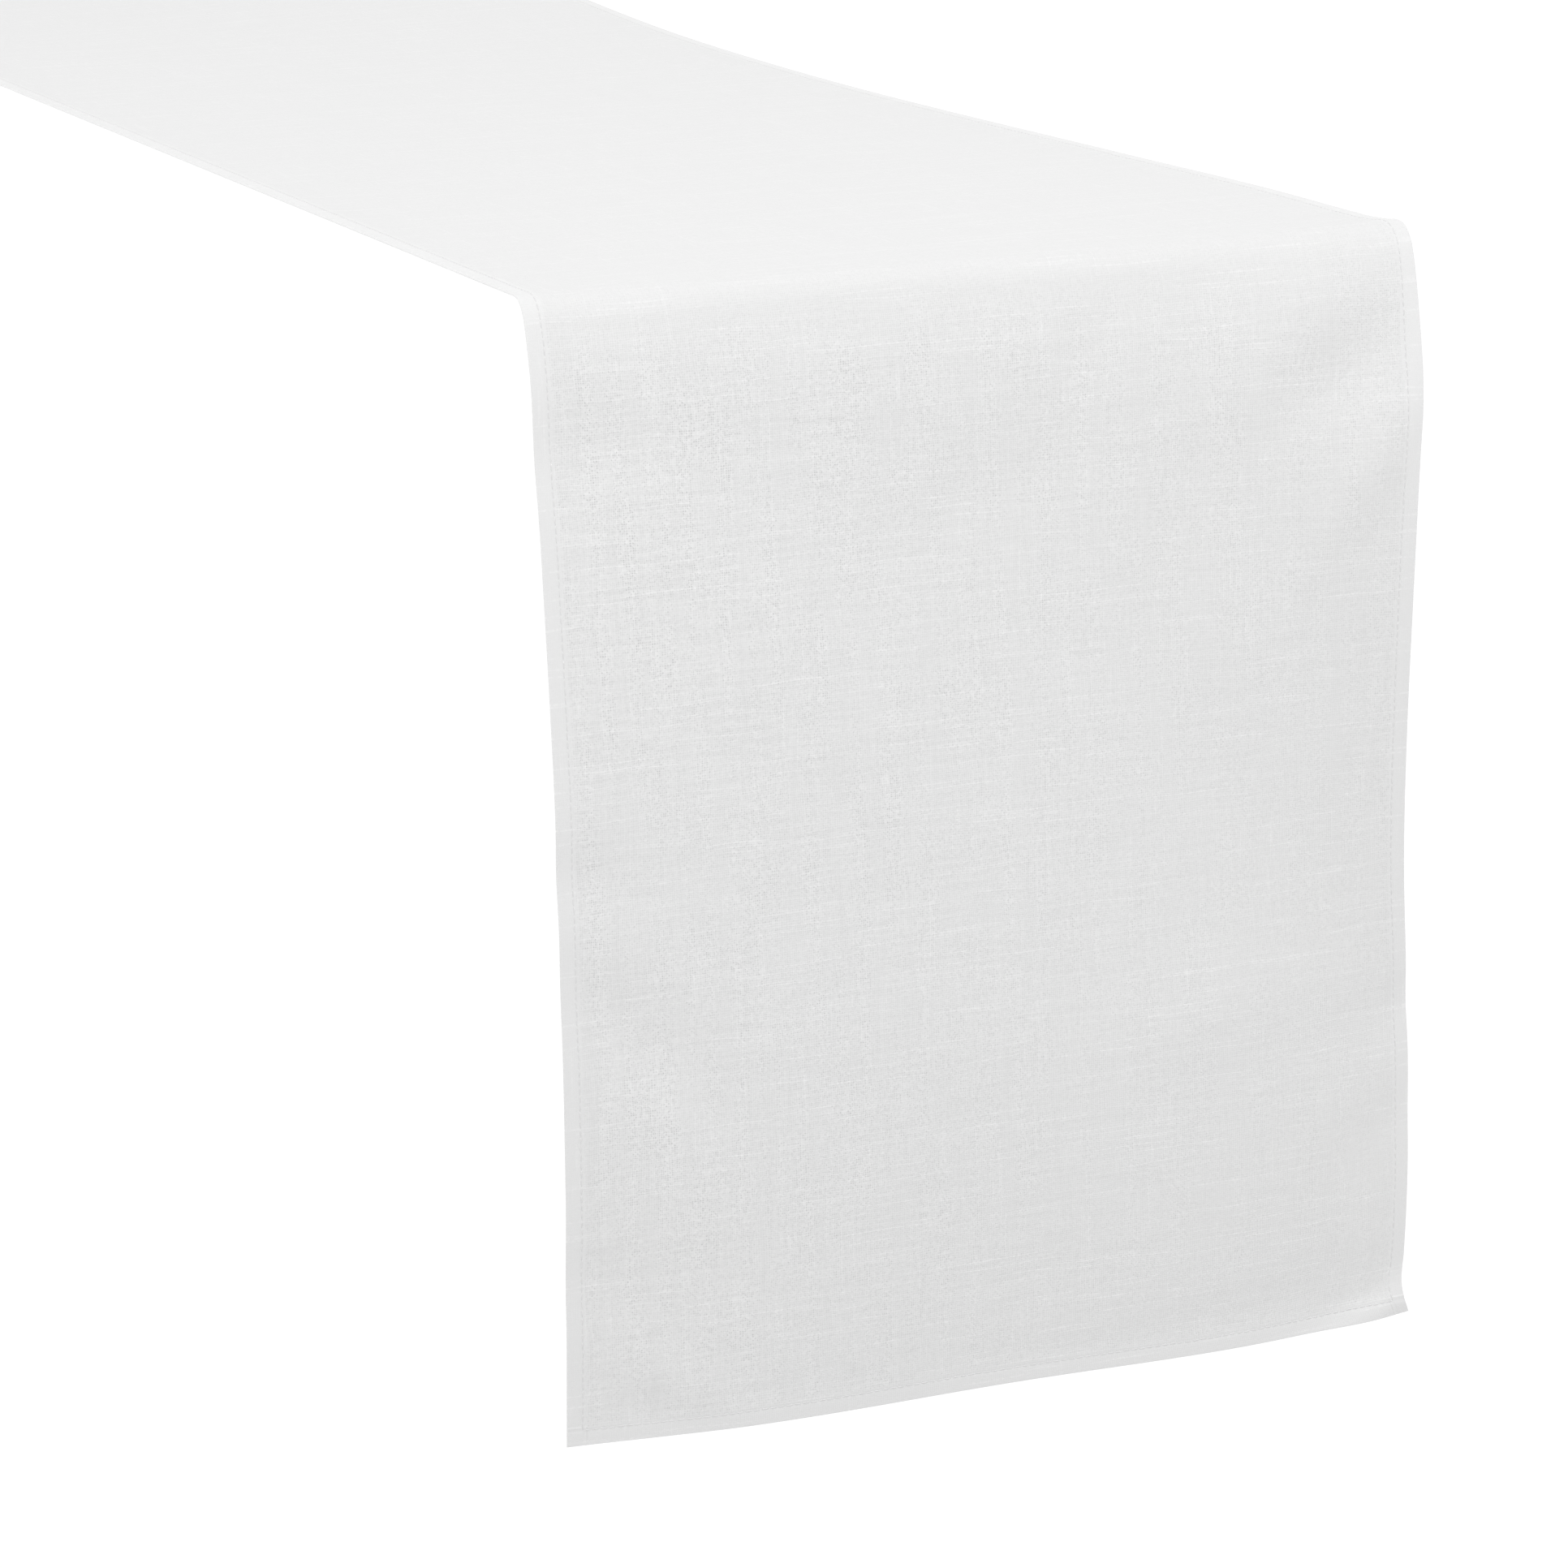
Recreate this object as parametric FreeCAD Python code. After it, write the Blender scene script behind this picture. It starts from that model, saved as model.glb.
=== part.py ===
"""Hemmed cloth table runner, draped over a table and hanging at both ends.

Frame, in millimetres: the origin is on the table top, under the middle of the runner.
X runs across the runner, Y along it, and Z up. The table top is the plane Z = 0, the
front drop hangs at -Y and the back drop at +Y.

The cloth follows one side profile: flat on the table, round the table's edge in a small
bend, outwards in a wide shoulder that eases to the vertical, then straight down. A place
on the runner is a station, the distance along the profile from the middle of the table,
an offset, the distance outwards from the side that faces the table, and x.
"""
import FreeCAD
import Part
import math
import os

# Driving dimensions
RUNNER_WIDTH = 304.8            # 12 in
RUNNER_LENGTH = 2743.2          # 108 in, along the cloth from hem to hem
TABLE_LENGTH = 2000.0           # between the two table edges
CLOTH = 0.5                     # thickness of one layer
HEM_WIDTH = 6.5                 # turned twice, so three layers thick
BEND_RADIUS = 12.0              # of the cloth's table side, round the table's edge
BEND_START = 8.0                # the bend starts this far inside the table's edge
BEND_ANGLE = math.radians(68)   # turned by the small bend; the shoulder turns the rest
SHOULDER_RADIUS = 150.0
STITCH_INSET = 1.2              # stitch line to the hem's inner fold
THREAD_WIDTH = 0.4
NEEDLE_BED = 0.15               # how deep the needle thread beds into the face
NEEDLE_PROUD = 0.1
BOBBIN_BED = 0.2                # the bobbin thread lies flush with the hem's underside
PIVOT_OFFSET = 1.7              # fold line of a drop: just outside the thickest hem

# Derived sizes
HALF_WIDTH = RUNNER_WIDTH / 2
HEM_THICK = 3 * CLOTH
HEM_INNER = HALF_WIDTH - HEM_WIDTH          # the hem's inner fold
FIELD_EDGE = HEM_INNER - CLOTH              # where the cloth steps up over the hem
STITCH_X = HEM_INNER + STITCH_INSET
FLAT_END = TABLE_LENGTH / 2 - BEND_START    # station where the flat stretch ends
BEND_END = FLAT_END + BEND_RADIUS * BEND_ANGLE
SHOULDER_END = BEND_END + SHOULDER_RADIUS * (math.pi / 2 - BEND_ANGLE)
CLOTH_END = RUNNER_LENGTH / 2
FOLD_ANGLE = BEND_ANGLE / 2                 # a drop folds at the middle of the small bend
FOLD_STATION = FLAT_END + BEND_RADIUS * FOLD_ANGLE
BREAKS = (FLAT_END, BEND_END, SHOULDER_END)

ENDS = {"front": -1, "back": 1}
SIDES = {"left": -1, "right": 1}


def on_circle(centre, radius, angle):
    """A point of the side profile on a circle; the angle is from straight up, outwards."""
    return (centre[0] + radius * math.sin(angle), centre[1] + radius * math.cos(angle))


BEND_CENTRE = (FLAT_END, -BEND_RADIUS)
SHOULDER_CENTRE = on_circle(BEND_CENTRE, BEND_RADIUS - SHOULDER_RADIUS, BEND_ANGLE)
DROP_REACH, SHOULDER_Z = on_circle(SHOULDER_CENTRE, SHOULDER_RADIUS, math.pi / 2)


def profile_point(station, offset):
    """(outwards, up) in the side profile."""
    if station <= FLAT_END:
        return (station, offset)
    if station <= BEND_END:
        angle = (station - FLAT_END) / BEND_RADIUS
        return on_circle(BEND_CENTRE, BEND_RADIUS + offset, angle)
    if station <= SHOULDER_END:
        angle = BEND_ANGLE + (station - BEND_END) / SHOULDER_RADIUS
        return on_circle(SHOULDER_CENTRE, SHOULDER_RADIUS + offset, angle)
    return (DROP_REACH + offset, SHOULDER_Z - (station - SHOULDER_END))


def profile_edges(start, end, offset, place):
    """The profile from station start to end at one offset, as straight edges and arcs."""
    stops = [start, *(b for b in BREAKS if start < b < end), end]
    edges = []
    for a, b in zip(stops, stops[1:]):
        first, middle, last = (place(s, offset) for s in (a, (a + b) / 2, b))
        straight = b <= FLAT_END or a >= SHOULDER_END
        curve = Part.LineSegment(first, last) if straight else Part.Arc(first, middle, last)
        edges.append(curve.toShape())
    return edges


def strip(end, stations, offsets, xs):
    """A solid between two stations, two offsets and two x values, at the front or back."""
    (s0, s1), (d0, d1), (x0, x1) = sorted(stations), offsets, sorted(xs)

    def place(station, offset):
        outwards, up = profile_point(station, offset)
        return FreeCAD.Vector(x0, ENDS[end] * outwards, up)

    caps = [Part.LineSegment(place(s, d0), place(s, d1)).toShape() for s in (s0, s1)]
    outline = profile_edges(s0, s1, d0, place) + profile_edges(s0, s1, d1, place) + caps
    wire = Part.Wire(Part.__sortEdges__(outline))
    solid = Part.Face(wire).extrude(FreeCAD.Vector(x1 - x0, 0, 0))
    if solid.Volume < 0:
        solid.reverse()
    return solid


def slab(xs, ys, zs):
    """A box between two x, two y and two z values."""
    (x0, x1), (y0, y1), (z0, z1) = sorted(xs), sorted(ys), sorted(zs)
    return Part.makeBox(x1 - x0, y1 - y0, z1 - z0, FreeCAD.Vector(x0, y0, z0))


def joined(solids):
    """One solid from several that share faces."""
    return solids[0].multiFuse(solids[1:]).removeSplitter()


def panel_section():
    """(offsets, xs) of the cloth's face layer: the field, and its borders over the hems."""
    parts = [((0, CLOTH), (-FIELD_EDGE, FIELD_EDGE))]
    for side in SIDES.values():
        parts.append(((0, HEM_THICK), (side * FIELD_EDGE, side * HEM_INNER)))
        parts.append(((2 * CLOTH, HEM_THICK), (side * HEM_INNER, side * HALF_WIDTH)))
    return parts


def full_section():
    """(offsets, xs) of the face layer with the hem turnings joined to it."""
    parts = [((0, CLOTH), (-FIELD_EDGE, FIELD_EDGE))]
    for side in SIDES.values():
        parts.append(((0, HEM_THICK), (side * FIELD_EDGE, side * HALF_WIDTH)))
    return parts


def seam_xs(side):
    """The x values of both edges of a side seam's thread."""
    middle = SIDES[side] * STITCH_X
    return (middle - THREAD_WIDTH / 2, middle + THREAD_WIDTH / 2)


NEEDLE = (HEM_THICK - NEEDLE_BED, HEM_THICK + NEEDLE_PROUD)
BOBBIN = (0, BOBBIN_BED)


def table_nodes():
    """The stretch that lies on the table: field, side hems and side seams, all straight."""
    ys = (-FLAT_END, FLAT_END)
    needle = {s: slab(seam_xs(s), ys, NEEDLE) for s in SIDES}
    bobbin = {s: slab(seam_xs(s), ys, BOBBIN) for s in SIDES}
    field = joined([slab(xs, ys, offsets) for offsets, xs in panel_section()])
    nodes = {"table_field": field.cut(Part.makeCompound(list(needle.values())))}
    for side, sign in SIDES.items():
        hem = slab((sign * HEM_INNER, sign * HALF_WIDTH), ys, (0, 2 * CLOTH))
        nodes[f"table_hem_{side}"] = hem.cut(bobbin[side])
        nodes[f"table_needle_thread_{side}"] = needle[side]
        nodes[f"table_bobbin_thread_{side}"] = bobbin[side]
    return nodes


def bend_nodes(end):
    """The table's half of the bend, and the short lengths of seam that cross it."""
    stations = (FLAT_END, FOLD_STATION)
    threads = [
        strip(end, stations, offsets, seam_xs(side))
        for side in SIDES
        for offsets in (NEEDLE, BOBBIN)
    ]
    bend = joined([strip(end, stations, *part) for part in full_section()])
    return {
        f"{end}_bend": bend.cut(Part.makeCompound(threads)),
        f"{end}_bend_threads": Part.makeCompound(threads),
    }


def drop_nodes(end):
    """One hanging end: shoulder, field, side hems, end hem and the seams of the three hems."""
    shoulder_stations = (FOLD_STATION, SHOULDER_END)
    drop_stations = (SHOULDER_END, CLOTH_END)
    end_fold = CLOTH_END - HEM_WIDTH
    end_hem_stations = (end_fold, CLOTH_END)
    end_seam = end_fold + STITCH_INSET
    end_seam_stations = (end_seam - THREAD_WIDTH / 2, end_seam + THREAD_WIDTH / 2)
    end_seam_xs = (max(seam_xs("left")), min(seam_xs("right")))
    seam_stations = (FOLD_STATION, CLOTH_END)

    needle = {s: strip(end, seam_stations, NEEDLE, seam_xs(s)) for s in SIDES}
    bobbin = {s: strip(end, seam_stations, BOBBIN, seam_xs(s)) for s in SIDES}
    needle["end"] = strip(end, end_seam_stations, NEEDLE, end_seam_xs)
    bobbin["end"] = strip(end, end_seam_stations, BOBBIN, end_seam_xs)
    all_needle = Part.makeCompound(list(needle.values()))
    all_bobbin = Part.makeCompound(list(bobbin.values()))

    shoulder = joined([strip(end, shoulder_stations, *part) for part in full_section()])
    middle, *borders = panel_section()
    end_step = (end_fold - CLOTH, end_fold)
    field = joined(
        [strip(end, drop_stations, *part) for part in borders]
        + [strip(end, (SHOULDER_END, end_step[0]), *middle)]
        + [strip(end, end_step, (0, HEM_THICK), middle[1])]
        + [strip(end, end_hem_stations, (2 * CLOTH, HEM_THICK), middle[1])]
    )
    # The end hem's turnings lie between the side hems' and pass over the side borders' steps.
    end_hem = strip(end, end_hem_stations, (0, 2 * CLOTH), (-FIELD_EDGE, FIELD_EDGE))
    nodes = {
        f"{end}_shoulder": shoulder.cut(all_needle).cut(all_bobbin),
        f"{end}_field": field.cut(all_needle).cut(all_bobbin),
        f"{end}_end_hem": end_hem.cut(all_bobbin),
    }
    for side, sign in SIDES.items():
        xs = (sign * HEM_INNER, sign * HALF_WIDTH)
        hem = strip(end, drop_stations, (0, 2 * CLOTH), xs)
        nodes[f"{end}_hem_{side}"] = hem.cut(all_bobbin)
    for seam in needle:
        nodes[f"{end}_needle_thread_{seam}"] = needle[seam]
        nodes[f"{end}_bobbin_thread_{seam}"] = bobbin[seam]
    return nodes


def report_facts():
    """Prints the sizes that the record states, in millimetres."""
    pivot = on_circle(BEND_CENTRE, BEND_RADIUS + PIVOT_OFFSET, FOLD_ANGLE)
    bottom = profile_point(CLOTH_END, 0)
    print("drop's fold line: %.4f from the middle, at height %.4f" % pivot)
    print("foot of a drop: %.4f from the middle, at height %.4f" % bottom)
    print("flat stretch: %.4f long, field %.4f wide" % (2 * FLAT_END, 2 * FIELD_EDGE))


def main():
    nodes = table_nodes()
    for end in ENDS:
        nodes.update(bend_nodes(end))
        nodes.update(drop_nodes(end))
    os.makedirs("parts", exist_ok=True)
    for name, shape in nodes.items():
        solids = shape.Solids
        if not all(s.isValid() and s.Volume > 0 for s in solids):
            raise ValueError(f"{name} isn't sound")
        shape = solids[0] if len(solids) == 1 else Part.makeCompound(solids)
        shape.exportStep(f"parts/{name}.step")
        print("%-30s %d solid(s) %10.2f mm3" % (name, len(solids), shape.Volume))
    report_facts()


main()
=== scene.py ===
"""Looks of the table runner: a white slub-weave cloth with turned, sewn hems, draped over a table.

Units are metres, in the frame of the CAD: X across the runner, Y along it, Z up from the table
top, and the front drop at -Y. A place on the cloth is (station, x): the distance along the cloth
from the middle of the table, and the distance across from its centre line, both as measured on
it flat.
"""

import math

import bpy
import numpy as np
from mathutils import Matrix, Vector


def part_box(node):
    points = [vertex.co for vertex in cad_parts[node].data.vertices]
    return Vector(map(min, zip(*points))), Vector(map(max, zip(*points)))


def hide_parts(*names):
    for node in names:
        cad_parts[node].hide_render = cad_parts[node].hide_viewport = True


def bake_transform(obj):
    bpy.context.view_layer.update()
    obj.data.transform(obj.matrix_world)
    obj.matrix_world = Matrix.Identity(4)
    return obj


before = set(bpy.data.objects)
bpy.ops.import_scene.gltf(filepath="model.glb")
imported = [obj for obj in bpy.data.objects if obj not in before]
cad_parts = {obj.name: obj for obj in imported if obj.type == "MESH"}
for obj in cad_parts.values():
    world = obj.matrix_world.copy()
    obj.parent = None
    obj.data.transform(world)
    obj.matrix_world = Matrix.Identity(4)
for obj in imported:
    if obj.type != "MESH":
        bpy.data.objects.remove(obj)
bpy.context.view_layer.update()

MM = 0.001

# Sizes read from the frame
table_field_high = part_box("table_field")[1]
table_hem_low, table_hem_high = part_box("table_hem_right")
HALF_WIDTH = table_hem_high.x
HEM_WIDTH = table_hem_high.x - table_hem_low.x
PRESSED = 0.5                               # ironed layers, as a share of their nominal thickness
HEM_THICK = table_field_high.z * PRESSED
CLOTH = HEM_THICK / 3
FLAT_END = table_field_high.y               # station where the cloth leaves the table top
FOOT_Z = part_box("back_field")[0].z
SEAM_X = sum(corner.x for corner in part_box("table_needle_thread_right")) / 2
SEAM_FROM_EDGE = HALF_WIDTH - SEAM_X
THREAD_RADIUS = 0.18 * MM

# The side profile that the solids follow: a small bend, then a wide shoulder
BEND_START = 8 * MM                         # the bend starts this far inside the table's edge
BEND_RADIUS = 12 * MM
BEND_ANGLE = math.radians(68)
SHOULDER_RADIUS = 150 * MM
TABLE_EDGE = FLAT_END + BEND_START
BEND_END = FLAT_END + BEND_RADIUS * BEND_ANGLE
SHOULDER_END = BEND_END + SHOULDER_RADIUS * (math.pi / 2 - BEND_ANGLE)


def on_circle(centre, radius, angle):
    """Points of a circle in the side profile; the angle is from straight up, outwards."""
    return np.stack([centre[0] + radius * np.sin(angle), centre[1] + radius * np.cos(angle)], -1)


BEND_CENTRE = (FLAT_END, -BEND_RADIUS)
SHOULDER_CENTRE = on_circle(BEND_CENTRE, BEND_RADIUS - SHOULDER_RADIUS, BEND_ANGLE)
DROP_REACH, SHOULDER_Z = on_circle(SHOULDER_CENTRE, SHOULDER_RADIUS, math.pi / 2)
CLOTH_END = SHOULDER_END + SHOULDER_Z - FOOT_Z

ENDS = {"front": -1, "back": 1}
SIDES = {"left": -1, "right": 1}


# ---------------------------------------------------------------- the drape

# How far the hanging cloth stands out from the plain profile, in mm: one row per depth along the
# cloth past the end of the flat stretch, one column per place across, in half widths.
ACROSS = (-1.0, -0.6, 0.0, 0.6, 1.0)
FRONT_DEPTHS = (-30, -12, 0, 14, 30, 60, 90, 130, 175, 220, 265, 320, 360, 380)
FRONT_WAVES = (
    (0.0, 0.0, 0.0, 0.0, 0.0),
    (0.0, 0.0, 0.0, 0.1, 0.2),
    (0.0, 0.0, 0.1, 0.4, 1.2),
    (-0.4, -0.3, -0.2, 0.8, 4.2),
    (-1.7, -1.7, -1.6, 0.6, 6.0),
    (-3.9, -4.5, -4.7, -0.4, 3.2),
    (-1.9, -3.2, -4.0, -0.5, 3.6),
    (1.2, -0.4, -1.8, 0.2, 2.0),
    (3.7, 2.0, 0.8, 1.2, -1.2),
    (4.2, 3.9, 3.2, 2.6, -4.0),
    (3.2, 5.4, 5.2, 5.0, -5.6),
    (0.8, 5.4, 6.0, 7.2, -4.6),
    (-2.4, 4.6, 5.2, 7.0, -5.0),
    (-4.0, 3.8, 4.6, 6.6, -5.2),
)
# How far the waves draw the front drop's foot up, in mm, across the runner
FRONT_TAKE_UP = (1.6, 1.8, 2.2, 2.4, 1.0)
BACK_DEPTHS = (-30, 0, 20, 60, 110, 170, 235, 300, 350, 380)
BACK_WAVES = (
    (0.0, 0.0, 0.0, 0.0, 0.0),
    (0.4, 0.1, 0.1, 0.2, 0.3),
    (2.6, 0.8, 0.3, 0.2, -0.4),
    (2.2, 1.4, 0.6, -0.2, -2.2),
    (-2.0, 1.6, 1.8, 0.8, -1.2),
    (-5.4, 0.8, 2.6, 2.4, 2.4),
    (-4.8, 1.4, 3.2, 3.6, 3.8),
    (-1.0, 3.6, 4.0, 3.4, 1.2),
    (1.2, 5.2, 4.6, 3.0, -2.8),
    (0.6, 5.8, 5.0, 2.8, -4.4),
)

# Soft folds on the drops: (x, depth, turn from across in degrees, half length, half width,
# height), in mm. The front's first row runs right across, and sharpens the bend at the table.
FRONT_FOLDS = (
    (0, 6.5, 0, 400, 4.5, 0.8),
    (138, 41, -38, 44, 16, -4.2),
    (135, 84, -56, 46, 10, 1.7),
    (70, 62, 84, 34, 9, -0.8),
    (0, 80, -20, 50, 16, -0.9),
    (34, 40, -60, 16, 9, -0.6),
    (86, 134, 84, 34, 12, 1.0),
    (-136, 54, -4, 44, 16, -1.5),
    (-146, 190, 16, 28, 13, -1.6),
    (-128, 242, 42, 40, 14, -2.0),
    (-142, 324, 10, 24, 15, -1.1),
    (-118, 360, 34, 24, 8, 1.1),
    (148, 270, -16, 22, 10, -1.0),
    (138, 314, -30, 24, 12, -1.0),
    (74, 262, -10, 40, 18, 1.1),
    (138, 378, -16, 30, 6, 2.4),
    (80, 366, -6, 60, 9, -0.6),
)
BACK_FOLDS = (
    (-110, 58, 50, 48, 11, -0.7),
    (120, 130, -36, 34, 12, -0.6),
    (-126, 250, 32, 30, 10, -0.6),
    (-140, 374, 12, 22, 7, 2.4),
    (30, 320, -8, 80, 24, -0.6),
)

# Where the flat stretch is lifted off the table: (x, y, half length across, half length along,
# height), in mm
LIFTS = (
    (152, -150, 150, 150, 8.6),
    (-152, 330, 70, 120, 3.2),
    (152, 620, 60, 90, 2.4),
    (-152, -60, 50, 80, 1.4),
    (0, 480, 130, 60, 1.2),
)

# Sideways drift of the right edge along the front half, in mm, by distance from the table's edge
DRIFT_AT = (
    -372, -366, -350, -312, -257, -212, -167, -122, -82, -40, 0, 40, 90, 200, 430, 640, 1000,
)
DRIFT = (
    1.0, -1.4, -0.6, 0.4, -0.2, -2.5, -3.3, -3.2, -2.3, -0.2, 1.4, 1.8, 3.0, 0.0, -5.4, -0.8, 0.0,
)
DRIFT_ACROSS = (-0.2, 1.0)  # the drift grows over this width, in half widths

LIFT_FADE = 60              # a lift fades out over this much of the flat stretch's end, in mm
NORMAL_STEP = 0.4 * MM      # between the points that give a normal


def smooth(low, high, at):
    """0 up to low, 1 past high, and a smooth step between."""
    t = np.clip((at - low) / (high - low), 0, 1)
    return t * t * (3 - 2 * t)


def spline(knots, values, at):
    """A smooth curve through the values at the knots. Values is one row, or one row per point."""
    knots = np.asarray(knots, float)
    values = np.broadcast_to(values, at.shape + knots.shape)
    slopes = np.gradient(values, knots, axis=-1)
    first = np.clip(np.searchsorted(knots, at, side="right") - 1, 0, len(knots) - 2)
    span = knots[first + 1] - knots[first]
    t = np.clip((at - knots[first]) / span, 0, 1)

    def at_knot(rows, index):
        return np.take_along_axis(rows, index[..., None], -1)[..., 0]

    return (
        at_knot(values, first) * (2 * t**3 - 3 * t**2 + 1)
        + at_knot(values, first + 1) * (3 * t**2 - 2 * t**3)
        + at_knot(slopes, first) * span * (t**3 - 2 * t**2 + t)
        + at_knot(slopes, first + 1) * span * (t**3 - t**2)
    )


def ridge(x, depth, fold):
    """Height in mm of one soft fold at places given in mm."""
    fold_x, fold_depth, turn, half_length, half_width, height = fold
    turn = math.radians(turn)
    along = (x - fold_x) * math.cos(turn) + (depth - fold_depth) * math.sin(turn)
    across = (depth - fold_depth) * math.cos(turn) - (x - fold_x) * math.sin(turn)
    return height * np.exp(-((along / half_length) ** 2) - (across / half_width) ** 2)


def stand_off(end, station, x):
    """How far the cloth stands off the plain profile, in metres."""
    depths, waves, folds = {
        "front": (FRONT_DEPTHS, FRONT_WAVES, FRONT_FOLDS),
        "back": (BACK_DEPTHS, BACK_WAVES, BACK_FOLDS),
    }[end]
    depth = (station - FLAT_END) / MM
    columns = [spline(depths, column, depth) for column in np.transpose(waves)]
    total = spline(ACROSS, np.stack(columns, -1), x / HALF_WIDTH)
    for fold in folds:
        total = total + ridge(x / MM, depth, fold)
    y = ENDS[end] * station / MM
    for lift_x, lift_y, across, along, height in LIFTS:
        on_table = smooth(0, LIFT_FADE, -depth)
        bump = np.exp(-(((x / MM - lift_x) / across) ** 2) - ((y - lift_y) / along) ** 2)
        total = total + height * bump * on_table
    return total * MM


def side_profile(station):
    """(outwards, up) of the plain profile, and the angle of its outer side from straight up."""
    bend = (station - FLAT_END) / BEND_RADIUS
    shoulder = BEND_ANGLE + (station - BEND_END) / SHOULDER_RADIUS
    angle = np.where(station < BEND_END, np.maximum(bend, 0), np.minimum(shoulder, math.pi / 2))
    flat = np.stack([station, np.zeros_like(station)], -1)
    hanging = np.stack(
        [np.full_like(station, DROP_REACH), SHOULDER_Z - (station - SHOULDER_END)], -1
    )
    bent = on_circle(BEND_CENTRE, BEND_RADIUS, angle)
    wide = on_circle(SHOULDER_CENTRE, SHOULDER_RADIUS, angle)
    place = np.where((station < FLAT_END)[..., None], flat, bent)
    place = np.where((station > BEND_END)[..., None], wide, place)
    place = np.where((station > SHOULDER_END)[..., None], hanging, place)
    return place, angle


def table_side(end, station, x):
    """Points of the side of the cloth that faces the table."""
    place, angle = side_profile(station)
    off = stand_off(end, station, x)
    outwards = place[..., 0] + off * np.sin(angle)
    up = place[..., 1] + off * np.cos(angle)
    shift = 0.0
    if end == "front":
        hung = np.clip((station - BEND_END) / (CLOTH_END - BEND_END), 0, 1)
        up = up + spline(ACROSS, FRONT_TAKE_UP, x / HALF_WIDTH) * MM * hung
        from_edge = (TABLE_EDGE - station) / MM
        share = smooth(*DRIFT_ACROSS, x / HALF_WIDTH)
        shift = spline(DRIFT_AT, DRIFT, from_edge) * MM * share
    return np.stack([x + shift, ENDS[end] * outwards, up], -1)


def normals(end, station, x):
    """The cloth's outer normal."""
    further, nearer = station + NORMAL_STEP, station - NORMAL_STEP
    along = table_side(end, further, x) - table_side(end, nearer, x)
    across = table_side(end, station, x + NORMAL_STEP) - table_side(end, station, x - NORMAL_STEP)
    normal = np.cross(across, along) * ENDS[end]
    return normal / np.linalg.norm(normal, axis=-1, keepdims=True)


# ---------------------------------------------------------------- hems

RAMP_ON_TABLE = 8 * MM      # the face layer eases up over the hem's turnings in this width
RAMP_ON_DROP = 4.5 * MM
RAMP_INSET = 0.3 * MM       # and starts this far inside their inner fold
DROP_HEM = (15 * MM, 50 * MM)   # past the flat stretch, a hem turns from lying to hanging here
CORNER_BULK = 0.35          # extra share of turned cloth where two hems cross
FACE_SHARE_ON_DROP = 0.3    # of the turnings' thickness that shows on the face where it hangs
FOLD_ON_TABLE = 0.8         # an outer fold lies this share of the thickness behind the face
FOLD_ON_DROP = 0.25
SEAM_DIP = 0.12 * MM        # the stitches pull the hem in by this on each side
SEAM_DIP_WIDTH = 0.6 * MM


def turned(distance):
    """1 under a hem's turnings, from their outer fold to their round inner fold, and 0 past it."""
    t = np.clip((distance - HEM_WIDTH + CLOTH) / CLOTH, 0, 1)
    return np.where(distance > HEM_WIDTH, 0.0, 0.5 + 0.5 * np.sqrt(1 - t * t))


def eased(distance, ramp):
    """1 over a hem, easing to 0 over the ramp beside it."""
    return 1 - smooth(HEM_WIDTH - RAMP_INSET, HEM_WIDTH + ramp, distance)


def rounded(distance, share):
    """0 at an outer fold, 1 past its rounding, which takes up a share of the hem's thickness."""
    t = 1 - np.clip(distance / (HEM_THICK * share), 0, 1)
    return np.sqrt(1 - t * t)


def section(station, x):
    """How far the cloth's two surfaces stand out from the table side: (under, over)."""
    from_side = HALF_WIDTH - np.abs(x)
    from_end = CLOTH_END - station
    side, end = turned(from_side), turned(from_end)
    turnings = 2 * CLOTH * (1 + CORNER_BULK * side * end)
    hem = 1 - (1 - side) * (1 - end)
    on_drop = smooth(*DROP_HEM, station - FLAT_END)
    ramp = RAMP_ON_TABLE + (RAMP_ON_DROP - RAMP_ON_TABLE) * on_drop
    raised = 1 - (1 - eased(from_side, ramp)) * (1 - eased(from_end, ramp))
    face_share = 1 + (FACE_SHARE_ON_DROP - 1) * on_drop
    face = face_share * turnings * raised
    over = CLOTH + face
    under = face - turnings * hem
    near_seam = np.minimum(np.abs(from_side - SEAM_FROM_EDGE), np.abs(from_end - SEAM_FROM_EDGE))
    dip = SEAM_DIP * np.exp(-((near_seam / SEAM_DIP_WIDTH) ** 2))
    over = over - dip
    under = under + dip * on_drop
    behind = FOLD_ON_TABLE + (FOLD_ON_DROP - FOLD_ON_TABLE) * on_drop
    fold_line = over - behind * (over - under)
    face_fold = rounded(from_side, behind) * rounded(from_end, behind)
    back_fold = rounded(from_side, 1 - behind) * rounded(from_end, 1 - behind)
    return fold_line + (under - fold_line) * back_fold, fold_line + (over - fold_line) * face_fold


# ---------------------------------------------------------------- cloth meshes

FLAT_UV = "cloth_flat"
# Grid lines beside a hemmed edge, in mm from it: close where the folds and the seam are
FROM_EDGE = (
    0, 0.03, 0.12, 0.3, 0.55, 0.85, 1.6, 2.8, 4.0, 4.7, 5.0, 5.3, 5.6, 6.0, 6.2, 6.36, 6.46,
    6.5, 6.52, 7.0, 7.6, 8.3, 9.1, 10.0, 11.2, 13.0,
)
# Steps between the other grid lines
STEP_ACROSS = 4 * MM
STEP_ON_TABLE = 7 * MM
STEP_NEAR_BEND = 3 * MM
STEP_IN_BEND = 0.9 * MM
STEP_IN_SHOULDER = 2.4 * MM
STEP_ON_DROP = 3 * MM
NEAR_BEND = 40 * MM         # how far before the bend the nearer steps start
BEND_MARGIN = 4 * MM        # how far past both ends of the bend its own steps go


def spread(low, high, step):
    """Even grid lines from low to high, about a step apart, without the last."""
    count = max(1, round((high - low) / step))
    return np.linspace(low, high, count, endpoint=False)


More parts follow.
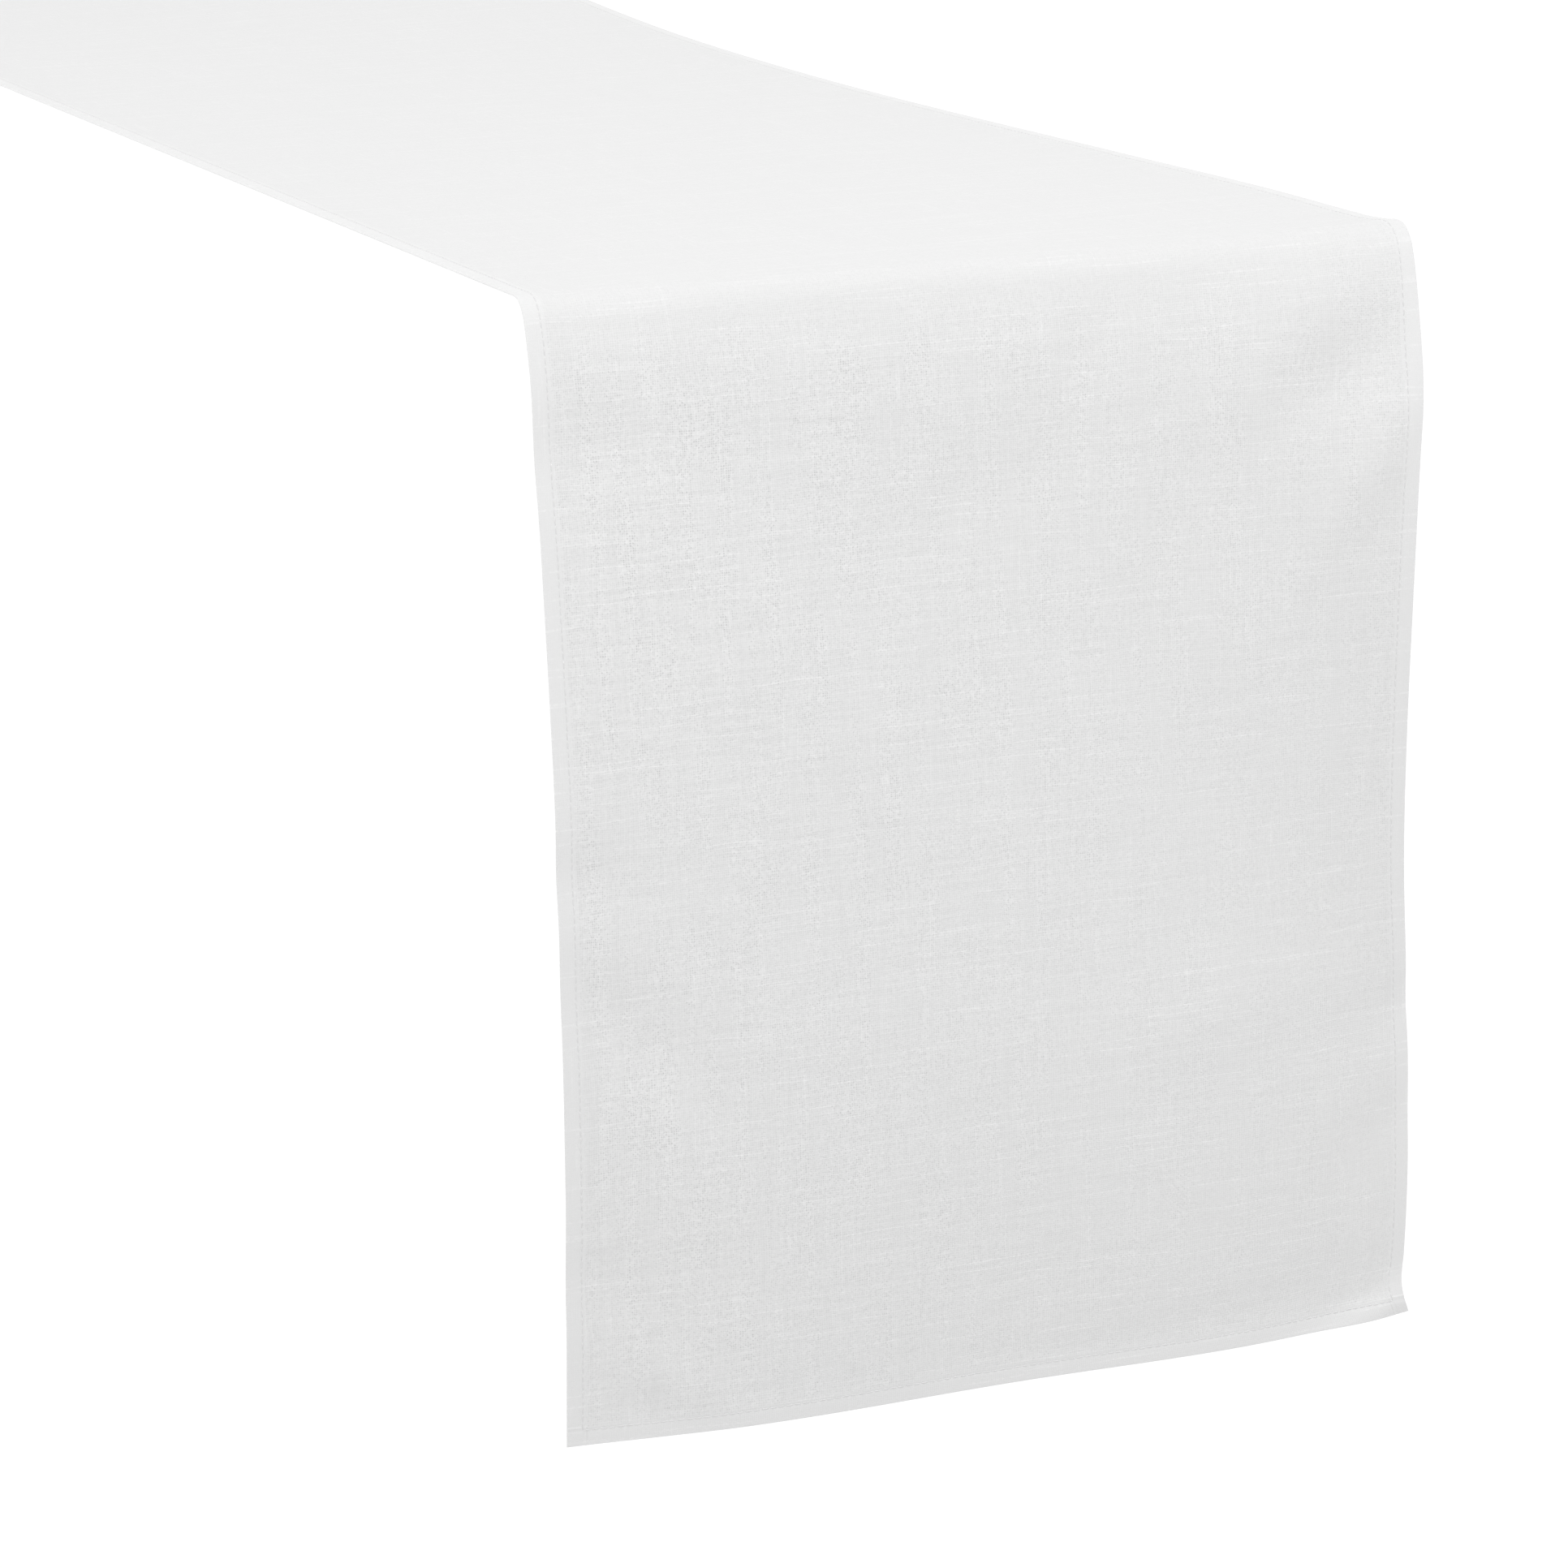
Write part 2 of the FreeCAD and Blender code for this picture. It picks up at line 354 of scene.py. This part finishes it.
def grid_lines():
    """The grid's stations and x values."""
    edge = np.array(FROM_EDGE) * MM
    half = np.concatenate([edge, spread(edge[-1], HALF_WIDTH, STEP_ACROSS)[1:], [HALF_WIDTH]])
    right = HALF_WIDTH - half[::-1]
    xs = np.concatenate([-right[:0:-1], right])
    stations = np.concatenate([
        spread(0, FLAT_END - NEAR_BEND, STEP_ON_TABLE),
        spread(FLAT_END - NEAR_BEND, FLAT_END - BEND_MARGIN, STEP_NEAR_BEND),
        spread(FLAT_END - BEND_MARGIN, BEND_END + BEND_MARGIN, STEP_IN_BEND),
        spread(BEND_END + BEND_MARGIN, SHOULDER_END, STEP_IN_SHOULDER),
        spread(SHOULDER_END, CLOTH_END - edge[-1], STEP_ON_DROP),
        CLOTH_END - edge[::-1],
    ])
    return stations, xs


def new_mesh(name, points, faces, smooth_shading=True):
    """A mesh object in the scene."""
    mesh = bpy.data.meshes.new(name)
    mesh.from_pydata(points, [], faces)
    mesh.polygons.foreach_set("use_smooth", [smooth_shading] * len(mesh.polygons))
    piece = bpy.data.objects.new(name, mesh)
    bpy.context.scene.collection.objects.link(piece)
    return piece


def set_flat_uv(mesh, flat_places):
    """Stores where each corner lies on the flat cloth, in metres, as a UV map."""
    layer = mesh.uv_layers.new(name=FLAT_UV)
    corner_vertex = np.zeros(len(mesh.loops), int)
    mesh.loops.foreach_get("vertex_index", corner_vertex)
    layer.data.foreach_set("uv", flat_places[corner_vertex].astype(np.float32).ravel())


def cloth_half(end):
    """One half of the runner's cloth with its hems, as one closed mesh."""
    stations, xs = grid_lines()
    station, x = np.meshgrid(stations, xs, indexing="ij")
    place = table_side(end, station, x)
    normal = normals(end, station, x)
    under, over = section(station, x)
    rows, columns = station.shape
    over_index = np.arange(rows * columns).reshape(rows, columns)
    # Both surfaces share their points at the outer folds.
    inner = np.zeros((rows, columns), bool)
    inner[:-1, 1:-1] = True
    under_index = over_index.copy()
    under_index[inner] = rows * columns + np.arange(inner.sum())
    points = np.concatenate([
        (place + normal * over[..., None]).reshape(-1, 3),
        (place + normal * under[..., None])[inner],
    ])

    def quads(index):
        return np.stack([index[:-1, :-1], index[:-1, 1:], index[1:, 1:], index[1:, :-1]], -1)

    outer = quads(over_index).reshape(-1, 4)
    lower = quads(under_index).reshape(-1, 4)[:, ::-1]
    top, bottom = over_index[0], under_index[0]
    cut = np.stack([top[:-1], bottom[:-1], bottom[1:], top[1:]], -1)
    faces = np.concatenate([outer, lower, cut])
    if ENDS[end] > 0:
        faces = faces[:, ::-1]
    # A face that touches an outer fold has one point twice, and keeps it once.
    clean = [[int(p) for n, p in enumerate(face) if p != face[n - 1]] for face in faces]
    piece = new_mesh(f"cloth_{end}", points, clean)
    flat = np.stack([x, ENDS[end] * station], -1)
    set_flat_uv(piece.data, np.concatenate([flat.reshape(-1, 2), flat[inner]]))
    # The cut at the runner's middle is sharp, so that both halves shade as one cloth.
    cut_points = set(top.tolist()) | set(bottom.tolist())
    for edge in piece.data.edges:
        edge.use_edge_sharp = set(edge.vertices) <= cut_points
    return piece


# ---------------------------------------------------------------- stitches

STITCH_LENGTH = 2.8 * MM
STITCH_RINGS = 7
STITCH_SIDES = 6
STITCH_WANDER = 0.06 * MM
STITCH_RISE = 1.5           # a stitch's middle stands this far above its ends, in thread radii
STITCH_SUNK = 1.2           # and its ends lie this far below the cloth's surface
STITCH_END_WIDTH = 0.75     # its ends' thickness, as a share of its middle's
STITCH_SEED = 7


def seam_lines():
    """Each seam's holes as (stations, xs), by name."""
    run = np.arange(0, CLOTH_END - SEAM_FROM_EDGE + STITCH_LENGTH / 2, STITCH_LENGTH)
    across = np.arange(-SEAM_X, SEAM_X + STITCH_LENGTH / 4, STITCH_LENGTH)
    across = across * (SEAM_X / across[-1])
    seams = {name: (run, np.full_like(run, side * SEAM_X)) for name, side in SIDES.items()}
    seams["end"] = (np.full_like(across, CLOTH_END - SEAM_FROM_EDGE), across)
    return seams


def stitch_row(end, seam, face, random):
    """A row of stitches along one seam, on the face or on the underside."""
    stations, xs = seam_lines()[seam]
    share = np.linspace(0, 1, STITCH_RINGS)
    station = stations[:-1, None] + np.diff(stations)[:, None] * share
    x = xs[:-1, None] + np.diff(xs)[:, None] * share
    swell = np.sin(math.pi * share)
    arch = swell**0.5
    wander = random.normal(0, STITCH_WANDER, len(stations) - 1)[:, None] * swell
    if seam == "end":
        station = station + wander
    else:
        x = x + wander
    under, over = section(station, x)
    normal = normals(end, station, x)
    lift = THREAD_RADIUS * (STITCH_RISE * arch - STITCH_SUNK)
    height = over + lift if face == "needle" else under - lift
    line = table_side(end, station, x) + normal * height[..., None]
    forward = np.gradient(line, axis=1)
    forward /= np.linalg.norm(forward, axis=-1, keepdims=True)
    beside = np.cross(forward, normal)
    beside /= np.linalg.norm(beside, axis=-1, keepdims=True)
    upright = np.cross(beside, forward)
    thickness = STITCH_END_WIDTH + (1 - STITCH_END_WIDTH) * arch
    radius = THREAD_RADIUS * thickness[None, :, None, None]
    turn = np.arange(STITCH_SIDES) * 2 * math.pi / STITCH_SIDES
    ring = beside[:, :, None] * np.cos(turn)[:, None] + upright[:, :, None] * np.sin(turn)[:, None]
    points = (line[:, :, None] + ring * radius).reshape(-1, 3)
    faces = []
    for first in range(0, len(points), STITCH_RINGS * STITCH_SIDES):
        for row in range(STITCH_RINGS - 1):
            base = first + row * STITCH_SIDES
            next_base = base + STITCH_SIDES
            for n in range(STITCH_SIDES):
                m = (n + 1) % STITCH_SIDES
                faces.append((base + n, base + m, next_base + m, next_base + n))
        last = first + (STITCH_RINGS - 1) * STITCH_SIDES
        faces.append(tuple(first + n for n in reversed(range(STITCH_SIDES))))
        faces.append(tuple(last + n for n in range(STITCH_SIDES)))
    return new_mesh(f"{end}_{face}_stitches_{seam}", points, faces)


# ---------------------------------------------------------------- materials

# Whiteness is a share of CLOTH_WHITE, and lengths in the weave are in threads.
THREADS_PER_METRE = 1360.0
THREAD_WHITE = 0.74
CLOTH_WHITE = 0.752
THREAD_WANDER = 2.2         # a thread's widest wander from side to side
CROWN_POWER = 0.6           # below 1, a thread is fuller than a sine across its width
WEFT_SLUB_HEIGHT = 0.6
WARP_SLUB_HEIGHT = 0.35
WEFT_SLUB_WHITE = 0.045
WARP_SLUB_WHITE = 0.03
SLUB_DASH = 0.7             # share of a slub's whiteness that varies between its crossings
HOLE_CORE = 0.14            # a pinhole's painted shade is darkest within this radius
HOLE_RADIUS = 0.50
HOLE_SHADE = 0.17            # a pinhole's painted shade, in open weave
HOLE_SHADE_TIGHT = 0.02
HOLE_POWER = 1.6            # above 1, pinholes with deep painted shade are fewer than faint ones
MEAN_HOLE_SHADE = 0.018           # what the pinholes' painted shade takes from the whiteness on the whole
KNUCKLE_SPREAD = 0.05       # of the whiteness where a thread crosses over, in open weave
KNUCKLE_SPREAD_TIGHT = 0.01
BAND_WHITE = 0.012
WEFT_TONE = 0.075
WARP_TONE = 0.055
TIGHTER_RIGHT = 0.32        # share of their openness that the pinholes lose at the right edge
TIGHTER_FOOT = 0.36         # and at the foot
SHOWS_ON_TABLE = 0.2        # share of the weave's contrast that shows on the table
HANGS_FROM = 4 * MM         # past the flat stretch, the contrast grows from here
HANGS_TO = 42 * MM          # to here
HEM_LIFT = 0.024            # how much whiter the hems are
HEM_BLUR = 0.8 * MM         # half the width of the change beside them
WEAVE_RELIEF = 0.10 * MM
FIBRE_RELIEF = 0.05 * MM


class Nodes:
    """Short ways to add nodes to a material."""

    def __init__(self, name):
        self.material = bpy.data.materials.new(name)
        self.material.use_nodes = True
        self.tree = self.material.node_tree
        self.shader = self.tree.nodes["Principled BSDF"]

    def add(self, kind, inputs=(), **settings):
        node = self.tree.nodes.new(kind)
        for key, value in settings.items():
            setattr(node, key, value)
        for key, value in dict(inputs).items():
            self.set(node.inputs[key], value)
        return node

    def set(self, socket, value):
        if isinstance(value, bpy.types.NodeSocket):
            self.tree.links.new(value, socket)
        else:
            socket.default_value = value

    def math(self, operation, *values):
        node = self.add("ShaderNodeMath", operation=operation)
        for socket, value in zip(node.inputs, values):
            self.set(socket, value)
        return node.outputs[0]

    def mul(self, a, b):
        return self.math("MULTIPLY", a, b)

    def sum(self, a, b):
        return self.math("ADD", a, b)

    def mul_add(self, a, b, c):
        return self.math("MULTIPLY_ADD", a, b, c)

    def vector(self, x, y, z=0.0):
        return self.add("ShaderNodeCombineXYZ", {"X": x, "Y": y, "Z": z}).outputs[0]

    def noise(self, vector, scale=1.0, detail=0.0):
        """Smooth noise, 0 to 1 and mostly near 0.5."""
        inputs = {"Vector": vector, "Scale": scale, "Detail": detail}
        return self.add("ShaderNodeTexNoise", inputs, noise_dimensions="3D").outputs[0]

    def grain(self, x, x_scale, y, y_scale, seed, detail=0.0):
        """Smooth noise with a scale of its own along each of two directions."""
        place = self.vector(self.mul(x, x_scale), self.mul(y, y_scale), seed)
        return self.noise(place, detail=detail)

    def random(self, x, y, seed):
        """An even random value, 0 to 1, for each whole x and y."""
        inputs = {"Vector": self.vector(x, y, seed)}
        node = self.add("ShaderNodeTexWhiteNoise", inputs, noise_dimensions="3D")
        return node.outputs["Value"]

    def step(self, value, low, high):
        """0 below low, 1 above high, and smooth between."""
        inputs = {"Value": value, "From Min": low, "From Max": high}
        node = self.add("ShaderNodeMapRange", inputs, interpolation_type="SMOOTHSTEP")
        return node.outputs[0]

    def share_up(self, value, lowest):
        """The lowest share where the value is 0, rising to 1 where it is 1."""
        return self.mul_add(value, 1 - lowest, lowest)

    def base_grey(self, white):
        """A base colour that is equally red, green and blue."""
        inputs = {"Red": white, "Green": white, "Blue": white}
        colour = self.add("ShaderNodeCombineColor", inputs)
        self.set(self.shader.inputs["Base Color"], colour.outputs[0])

    def bump(self, strength, relief, height):
        inputs = {"Strength": strength, "Distance": relief, "Height": height}
        self.set(self.shader.inputs["Normal"], self.add("ShaderNodeBump", inputs).outputs[0])


def cloth_material():
    """Plain weave of uneven threads with painted shade in the pinholes between them, and slubs
    along the weft.
    """
    n = Nodes("slub_weave_cloth")
    uv = n.add("ShaderNodeUVMap", uv_map=FLAT_UV).outputs["UV"]
    flat = n.add("ShaderNodeSeparateXYZ", {"Vector": uv}).outputs
    across = n.mul(flat[0], THREADS_PER_METRE)
    along = n.mul(flat[1], THREADS_PER_METRE)

    # Threads wander a little off the straight.
    warp_wander = n.grain(across, 0.11, along, 0.035, seed=3.0)
    weft_wander = n.grain(across, 0.035, along, 0.11, seed=8.0)
    across = n.sum(across, n.mul_add(warp_wander, THREAD_WANDER, -THREAD_WANDER / 2))
    along = n.sum(along, n.mul_add(weft_wander, THREAD_WANDER, -THREAD_WANDER / 2))
    warp_index = n.math("FLOOR", across)
    weft_index = n.math("FLOOR", along)

    # Slubs are thick stretches of single threads: long ones in the weft, fainter in the warp.
    weft_slub = n.step(n.grain(weft_index, 7.31, across, 0.020, seed=66.5), 0.64, 0.76)
    warp_slub = n.step(n.grain(warp_index, 7.31, along, 0.030, seed=30.5), 0.70, 0.82)

    # Each thread is round across its width, and rises over and dips under the threads it crosses.
    def crown(place):
        wave = n.math("ABSOLUTE", n.math("SINE", n.mul(place, math.pi)))
        return n.math("POWER", wave, CROWN_POWER)

    def rise(place, index, sign):
        phase = n.mul(n.sum(n.sum(place, index), -0.5), math.pi)
        return n.mul_add(n.math("COSINE", phase), 0.5 * sign, 0.5)

    warp_rise = n.mul_add(warp_slub, WARP_SLUB_HEIGHT, rise(along, warp_index, 1))
    weft_rise = n.mul_add(weft_slub, WEFT_SLUB_HEIGHT, rise(across, weft_index, -1))
    warp_top = n.mul(crown(across), warp_rise)
    weft_top = n.mul(crown(along), weft_rise)
    height = n.math("MAXIMUM", warp_top, weft_top)

    # The hems are three layers thick, so their pinholes are closed and their weave shows less.
    from_side = n.math("SUBTRACT", HALF_WIDTH, n.math("ABSOLUTE", flat[0]))
    from_end = n.math("SUBTRACT", CLOTH_END, n.math("ABSOLUTE", flat[1]))
    from_edge = n.math("MINIMUM", from_side, from_end)
    field = n.step(from_edge, HEM_WIDTH - HEM_BLUR, HEM_WIDTH + HEM_BLUR)

    # Patches where the threads are packed more and less tightly.
    warp_bands = n.grain(across, 0.14, along, 0.006, seed=71.0, detail=1.0)
    weft_bands = n.grain(across, 0.008, along, 0.22, seed=83.0, detail=1.0)
    patches = n.grain(across, 0.045, along, 0.03, seed=41.0, detail=2.0)
    tightness = n.step(n.sum(warp_bands, n.mul(patches, 0.8)), 0.55, 1.20)
    openness = n.mul(n.mul_add(tightness, 1.15, 0.28), field)
    # On the drops the weave tightens towards the right and the foot, so the painted shade in its
    # pinholes fades there. On the table the pinholes have the bright table top behind them, so
    # their painted shade is weaker there.
    depth = n.math("SUBTRACT", n.math("ABSOLUTE", flat[1]), FLAT_END)
    slack = n.mul_add(flat[0], -TIGHTER_RIGHT / HALF_WIDTH, 1.0)
    slack = n.mul_add(depth, -TIGHTER_FOOT / (CLOTH_END - FLAT_END), slack)
    hanging = n.mul(n.step(depth, HANGS_FROM, HANGS_TO), slack)
    contrast = n.share_up(hanging, SHOWS_ON_TABLE)
    openness = n.mul(openness, contrast)

    # Painted shade in a pinhole where four threads meet, each of its own darkness.
    hole_x = n.math("ROUND", across)
    hole_y = n.math("ROUND", along)
    chance = n.math("POWER", n.random(hole_x, hole_y, 5.0), HOLE_POWER)
    off_x = n.math("SUBTRACT", across, hole_x)
    off_y = n.math("SUBTRACT", along, hole_y)
    away = n.math("SQRT", n.sum(n.mul(off_x, off_x), n.mul(off_y, off_y)))
    hole_shade = n.math("SUBTRACT", 1.0, n.step(away, HOLE_CORE, HOLE_RADIUS))
    hole_shade = n.mul(n.mul(hole_shade, chance), n.mul_add(openness, HOLE_SHADE, HOLE_SHADE_TIGHT))

    # Where a thread crosses over another, it is lit a little more or less, and slubs are whiter.
    lit = n.sum(n.random(warp_index, weft_index, 13.0), -0.5)
    lit = n.mul(lit, n.mul_add(openness, KNUCKLE_SPREAD, KNUCKLE_SPREAD_TIGHT))
    white = n.sum(n.math("SUBTRACT", 1.0, hole_shade), lit)
    white = n.mul_add(openness, MEAN_HOLE_SHADE, white)
    dash = n.step(n.random(warp_index, weft_index, 29.0), 0.35, 0.65)
    dash = n.share_up(dash, 1 - SLUB_DASH)
    white = n.mul_add(n.mul(weft_slub, dash), WEFT_SLUB_WHITE, white)
    white = n.mul_add(n.mul(warp_slub, dash), WARP_SLUB_WHITE, white)
    bands = n.sum(n.mul_add(warp_bands, 1.0, -0.5), n.mul_add(weft_bands, 0.7, -0.35))
    white = n.mul_add(bands, BAND_WHITE, white)
    # Each thread keeps its own tone for a few centimetres.
    weft_tone = n.grain(weft_index, 5.17, across, 0.04, seed=12.5)
    warp_tone = n.grain(warp_index, 5.17, along, 0.04, seed=52.5)
    tones = n.sum(n.mul(weft_tone, WEFT_TONE), n.mul(warp_tone, WARP_TONE))
    tones = n.sum(tones, -(WEFT_TONE + WARP_TONE) / 2)
    white = n.mul_add(n.mul(tones, field), contrast, white)
    white = n.mul_add(field, -HEM_LIFT, n.sum(white, HEM_LIFT))
    n.base_grey(n.mul(white, CLOTH_WHITE))

    n.set(n.shader.inputs["Roughness"], n.mul_add(height, -0.10, 0.92))
    fuzz = n.noise(n.vector(across, along, 11.0), scale=3.0, detail=2.0)
    relief = n.mul_add(fuzz, 0.25, n.mul(height, n.mul_add(field, 0.55, 0.45)))
    n.bump(0.5, WEAVE_RELIEF, relief)
    n.shader.inputs["Specular IOR Level"].default_value = 0.25
    n.shader.inputs["Sheen Weight"].default_value = 0.12
    n.shader.inputs["Sheen Roughness"].default_value = 0.6
    return n.material


def thread_material():
    """White spun sewing thread."""
    n = Nodes("sewing_thread")
    place = n.add("ShaderNodeTexCoord").outputs["Object"]
    fibres = n.noise(place, scale=4200.0, detail=2.0)
    n.base_grey(n.mul(n.mul_add(fibres, 0.10, 0.95), THREAD_WHITE))
    n.set(n.shader.inputs["Roughness"], n.mul_add(fibres, 0.2, 0.5))
    n.bump(0.4, FIBRE_RELIEF, fibres)
    n.shader.inputs["Sheen Weight"].default_value = 0.15
    return n.material


def matt_material(name, grey, roughness, glow=0.0):
    """A plain grey that may glow white."""
    n = Nodes(name)
    n.shader.inputs["Base Color"].default_value = (grey, grey, grey, 1)
    n.shader.inputs["Roughness"].default_value = roughness
    n.shader.inputs["Specular IOR Level"].default_value = 0.0
    n.shader.inputs["Emission Color"].default_value = (1, 1, 1, 1)
    n.shader.inputs["Emission Strength"].default_value = glow
    return n.material


# ---------------------------------------------------------------- camera, floor and light

# Places are from the middle of the front table edge.
CAMERA_PLACE = (-0.6972, -1.5554, 0.2583)
CAMERA_YAW = math.radians(22.007)
CAMERA_PITCH = math.radians(14.075)
CAMERA_ROLL = math.radians(1.1435)
CAMERA_LENS_MM = 124.6
CAMERA_SENSOR_MM = 36
TABLE_HEIGHT = 0.74
FLOOR_REACH = 60            # metres from the origin to each side
FLOOR_GREY = 0.05
FLOOR_GLOW = 1.0
FLAG_X = (-0.5, 0.5)
FLAG_Y = (-0.75, -0.2)
FLAG_ABOVE_FLOOR = 0.02
FLAG_GREY = 0.3
WORLD_LIGHT = 0.82
# Soft lights: (name, place, target, size, watts)
LIGHTS = (
    ("overhead", (0.1, -1.2, 4.6), (0, 0, 0), (2.2, 2.2), 48),
    ("rim_left", (-2.6, 1.6, 0.7), (0, 0, -0.1), (3.0, 2.0), 12),
    ("rim_right", (2.6, 1.6, 0.7), (0, 0, -0.1), (3.0, 2.0), 12),
    ("front_high", (-1.2, -2.6, 2.6), (0, 0, -0.1), (1.6, 1.6), 27),
)


def from_front_edge(place):
    """A place in the frame, given from the middle of the front table edge."""
    x, y, z = place
    return Vector((x, y - TABLE_EDGE, z))


def make_camera():
    """The photo's view."""
    data = bpy.data.cameras.new("camera")
    data.lens = CAMERA_LENS_MM
    data.sensor_width = CAMERA_SENSOR_MM
    camera = bpy.data.objects.new("camera", data)
    bpy.context.scene.collection.objects.link(camera)
    turn = (
        Matrix.Rotation(-CAMERA_YAW, 4, "Z")
        @ Matrix.Rotation(math.pi / 2 - CAMERA_PITCH, 4, "X")
        @ Matrix.Rotation(-CAMERA_ROLL, 4, "Z")
    )
    camera.matrix_world = Matrix.Translation(from_front_edge(CAMERA_PLACE)) @ turn
    bpy.context.scene.camera = camera


def level_board(name, xs, ys, z, material):
    """A level rectangle of the stage."""
    (left, right), (near, far) = xs, ys
    points = [(left, near, z), (right, near, z), (right, far, z), (left, far, z)]
    board = new_mesh(name, points, [(0, 1, 2, 3)], smooth_shading=False)
    board.data.materials.append(material)
    return board


def make_floor():
    """A pale, plain and bright floor."""
    reach = (-FLOOR_REACH, FLOOR_REACH)
    material = matt_material("pale_floor", FLOOR_GREY, 0.9, glow=FLOOR_GLOW)
    floor = level_board("floor", reach, reach, -TABLE_HEIGHT, material)


def make_flag():
    """A grey board near the floor, below and in front of the front drop, that shades its foot.

    The camera doesn't see it.
    """
    near, far = (y - TABLE_EDGE for y in FLAG_Y)
    material = matt_material("grey_board", FLAG_GREY, 1.0)
    flag = level_board("flag", FLAG_X, (near, far), FLAG_ABOVE_FLOOR - TABLE_HEIGHT, material)
    flag.visible_camera = False


def area_light(name, place, target, size, watts):
    """A soft light that the camera doesn't see."""
    data = bpy.data.lights.new(name, "AREA")
    data.shape = "RECTANGLE"
    data.size, data.size_y = size
    data.energy = watts
    light = bpy.data.objects.new(name, data)
    bpy.context.scene.collection.objects.link(light)
    light.location = place
    light.rotation_euler = (target - place).to_track_quat("-Z", "Y").to_euler()
    light.visible_camera = False


def make_lights():
    """A bright surround and the soft lights."""
    world = bpy.data.worlds.new("studio")
    world.use_nodes = True
    background = world.node_tree.nodes["Background"]
    background.inputs["Color"].default_value = (1, 1, 1, 1)
    background.inputs["Strength"].default_value = WORLD_LIGHT
    bpy.context.scene.world = world
    for name, place, target, size, watts in LIGHTS:
        area_light(name, from_front_edge(place), from_front_edge(target), size, watts)


# ---------------------------------------------------------------- the runner


def blend_over_edge(piece):
    """Moves the piece's placement into its mesh points."""
    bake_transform(piece)


def add_cloth(end, material):
    """One half of the cloth, in place of its bodies, which it hides."""
    cloth = cloth_half(end)
    cloth.data.materials.append(material)
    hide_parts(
        "table_field", "table_hem_left", "table_hem_right", f"{end}_bend",
        f"{end}_shoulder", f"{end}_field", f"{end}_hem_left", f"{end}_hem_right",
        f"{end}_end_hem",
    )
    blend_over_edge(cloth)
    return cloth


def add_stitches(end, face, seam, material, random):
    """One row of stitches, in place of its bodies, which it hides."""
    row = stitch_row(end, seam, face, random)
    row.data.materials.append(material)
    stands_for = [f"{end}_{face}_thread_{seam}"]
    if seam != "end":
        stands_for += [f"table_{face}_thread_{seam}", f"{end}_bend_threads"]
    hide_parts(*stands_for)
    blend_over_edge(row)
    return row


def build():
    """Both halves of the runner with their stitches."""
    cloth_finish = cloth_material()
    thread_finish = thread_material()
    random = np.random.default_rng(STITCH_SEED)
    for end in ENDS:
        cloth = add_cloth(end, cloth_finish)
        rows = [
            add_stitches(end, face, seam, thread_finish, random)
            for face in ("needle", "bobbin")
            for seam in ("left", "right", "end")
        ]


bpy.context.scene.view_settings.view_transform = "Standard"
make_camera()
build()
make_floor()
make_flag()
make_lights()
